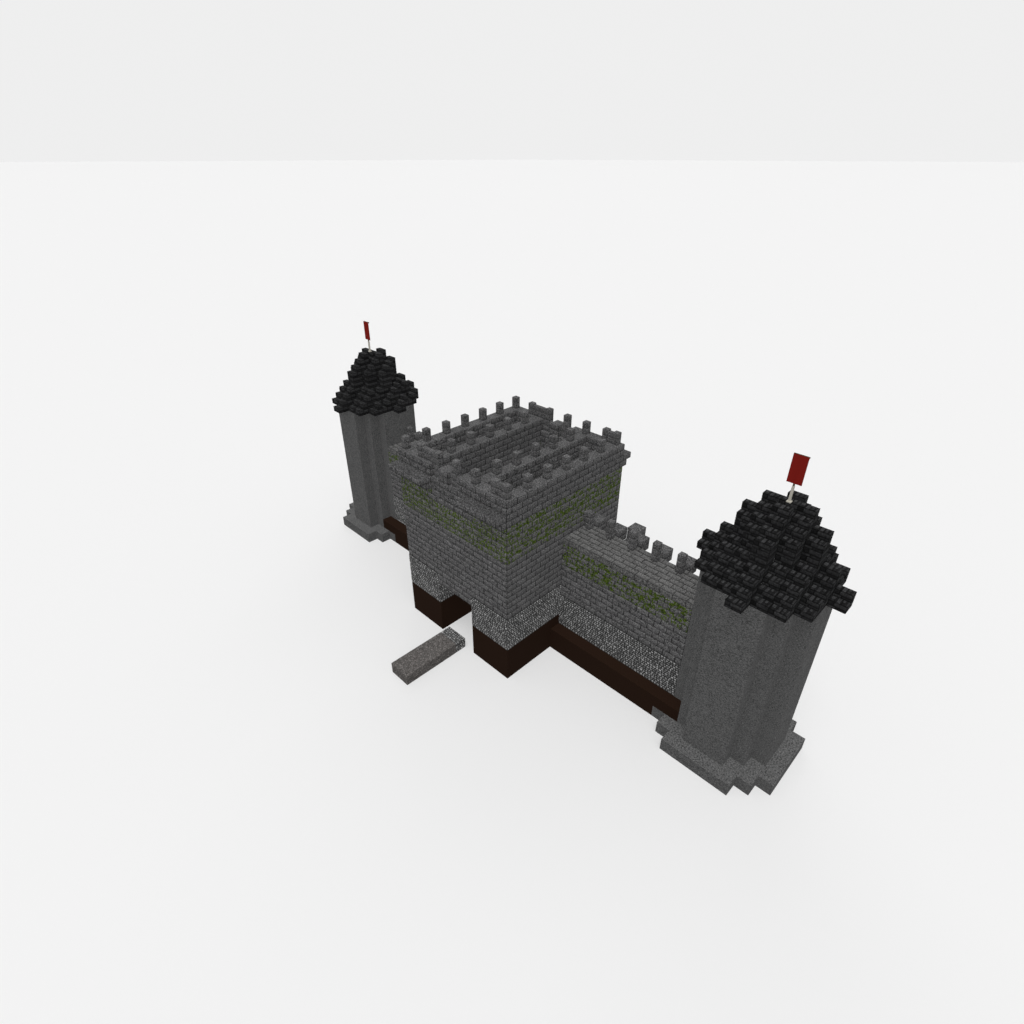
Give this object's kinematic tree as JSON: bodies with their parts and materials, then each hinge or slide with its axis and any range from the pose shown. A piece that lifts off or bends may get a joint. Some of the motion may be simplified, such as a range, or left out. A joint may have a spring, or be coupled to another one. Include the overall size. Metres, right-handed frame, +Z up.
{
  "type": "fortified gatehouse with curtain walls, 1:2 scale model",
  "caption": "Fortified stone gatehouse with twin open-topped gate towers over a passage, curtain walls and round end towers with stepped roofs and banners, 1:2 scale.",
  "frame": {"origin": "on the ground at the middle of the gate passage, which is the bottom centre of the whole part's box", "axes": "+X along the walls from the left round tower to the right one, +Y from the front to the back, +Z up"},
  "size_m": [25, 12.5, 10.9167],
  "materials": {
    "ashlar": "coursed grey ashlar, matte, with two mossy courses high on the outer faces",
    "rubble": "grey cobble masonry, rough",
    "dark_base": "very dark brown base course, matte",
    "smooth_stone": "smooth fine-grained grey stone, matte",
    "walk_stone": "grey dressed slabs, matte",
    "parapet_stone": "grey dressed stone, matte",
    "roof_tile": "near-black tiles, matte",
    "gravel_stone": "grey gravel, rough",
    "banner_cloth": "plain red cloth",
    "pole_wood": "dark brown wood",
    "pale_rod": "pale cream, satin"
  },
  "bodies": {
    "root": {"causeways": "gravel_stone", "gate_head_back": "ashlar", "gate_head_front": "ashlar", "gate_parapet": "parapet_stone", "left_banner": "banner_cloth", "left_banner_pole": "pole_wood", "left_curtain_base": "dark_base", "left_curtain_rubble_course": "rubble", "left_curtain_wall": "ashlar", "left_finial_rod": "pale_rod", "left_round_tower_plinth": "smooth_stone", "left_round_tower_roof": "roof_tile", "left_round_tower_shaft": "smooth_stone", "left_tower_back_wall": "ashlar", "left_tower_base": "dark_base", "left_tower_corbels": "ashlar", "left_tower_front_wall": "ashlar", "left_tower_outer_wall": "ashlar", "left_tower_parapet": "parapet_stone", "left_tower_passage_wall": "ashlar", "left_tower_rubble_course": "rubble", "left_wall_merlons": "parapet_stone", "left_wall_posts": "parapet_stone", "left_wall_walk": "walk_stone", "right_banner": "banner_cloth", "right_banner_pole": "pole_wood", "right_curtain_base": "dark_base", "right_curtain_rubble_course": "rubble", "right_curtain_wall": "ashlar", "right_finial_rod": "pale_rod", "right_round_tower_plinth": "smooth_stone", "right_round_tower_roof": "roof_tile", "right_round_tower_shaft": "smooth_stone", "right_tower_back_wall": "ashlar", "right_tower_base": "dark_base", "right_tower_corbels": "ashlar", "right_tower_front_wall": "ashlar", "right_tower_outer_wall": "ashlar", "right_tower_parapet": "parapet_stone", "right_tower_passage_wall": "ashlar", "right_tower_rubble_course": "rubble", "right_wall_bracket": "parapet_stone", "right_wall_merlons": "parapet_stone", "right_wall_posts": "parapet_stone", "right_wall_walk": "walk_stone"}
  },
  "joints": []
}
